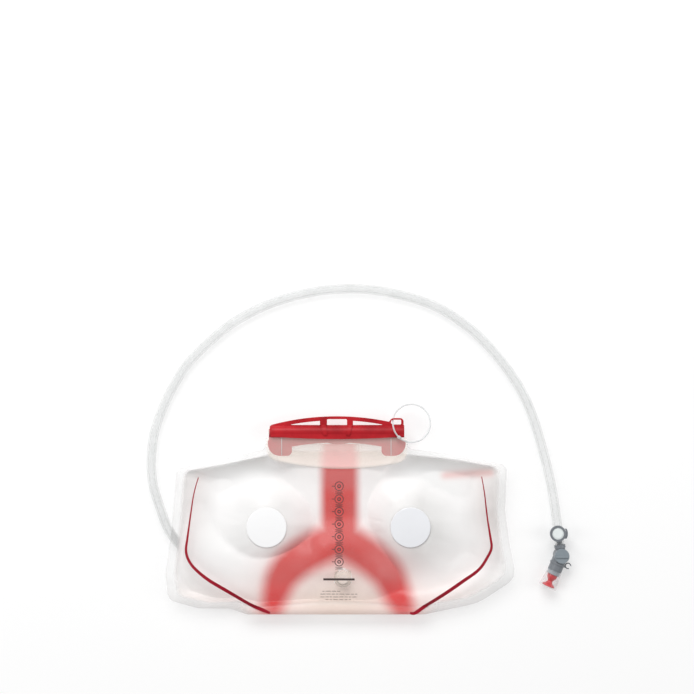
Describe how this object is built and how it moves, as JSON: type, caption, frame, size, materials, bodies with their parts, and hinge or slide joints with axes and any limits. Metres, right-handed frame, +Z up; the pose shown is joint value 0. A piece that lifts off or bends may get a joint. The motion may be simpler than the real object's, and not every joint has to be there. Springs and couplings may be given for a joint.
{
  "type": "hydration bladder",
  "caption": "Wide film hydration reservoir with fold-over slide closure, baffle welds, clear drink hose and capped bite valve with shut-off dial.",
  "frame": {"origin": "on the surface it lies on, under the middle of the reservoir with its closure and leash, hose left out", "axes": "+X to the right along the closure, +Y towards the filling mouth, +Z up away from the surface it lies on"},
  "size_m": [0.4268, 0.3309, 0.0378],
  "materials": {
    "front_film": "soft milky translucent film",
    "back_film": "soft milky translucent film with a coloured print",
    "white_weld": "satin",
    "mouth_film": "soft translucent film",
    "red_rail": "satin",
    "white_plastic": "satin",
    "spring_steel": "bright wire",
    "seal_rubber": "matt",
    "red_gloss": "glossy",
    "grey_plastic": "satin",
    "grey_dial": "satin",
    "grey_light": "satin",
    "leash_plastic": "translucent",
    "hose_clear": "clear, slightly milky",
    "red_silicone": "satin silicone",
    "cap_clear": "clear glossy plastic"
  },
  "bodies": {
    "reservoir": {"front_panel": "front_film", "back_panel": "back_film", "baffle_left": "white_weld", "baffle_right": "white_weld", "mouth_front": "mouth_film", "mouth_rear": "mouth_film", "fold_rail": "red_rail", "port_base": "white_plastic", "port_poppet": "white_plastic", "port_spring": "spring_steel", "port_seal": "seal_rubber", "port_elbow": "grey_plastic", "hose": "hose_clear", "valve_body": "grey_plastic", "valve_seal": "seal_rubber", "valve_spigot": "grey_light", "bite_valve": "red_silicone", "tether_loop": "grey_plastic"},
    "closure": {"slider": "red_gloss"},
    "leash": {"leash_ring": "leash_plastic"},
    "elbow_lock": {"port_clip": "red_gloss"},
    "shutoff": {"shutoff_dial": "grey_dial", "valve_rotor": "white_plastic"},
    "cap": {"dust_cap": "cap_clear"},
    "tube_clip": {"clip_body": "grey_plastic", "clip_face": "white_plastic"}
  },
  "joints": [
    {"name": "closure_slide", "type": "slide", "parent": "reservoir", "child": "closure", "axis": [1, 0, 0], "range_m": [0, 0.135]},
    {"name": "leash_swing", "type": "hinge", "parent": "closure", "child": "leash", "pos_m": [0.0548, 0.088, 0.0186], "axis": [0, 0, 1], "range_deg": [-20, 40]},
    {"name": "elbow_lock_slide", "type": "slide", "parent": "reservoir", "child": "elbow_lock", "axis": [0, -1, 0], "range_m": [0, 0.012]},
    {"name": "shutoff_turn", "type": "hinge", "parent": "reservoir", "child": "shutoff", "pos_m": [0.2234, -0.0462, 0.00925], "axis": [0, 0, 1], "range_deg": [0, 90]},
    {"name": "cap_slide", "type": "slide", "parent": "reservoir", "child": "cap", "axis": [-0.3907, -0.9205, 0], "range_m": [0, 0.03]},
    {"name": "tube_clip_turn", "type": "hinge", "parent": "reservoir", "child": "tube_clip", "pos_m": [0.22062, -0.0237, 0.00925], "axis": [0.1219, -0.9925, 0], "range_deg": [-90, 90]}
  ]
}
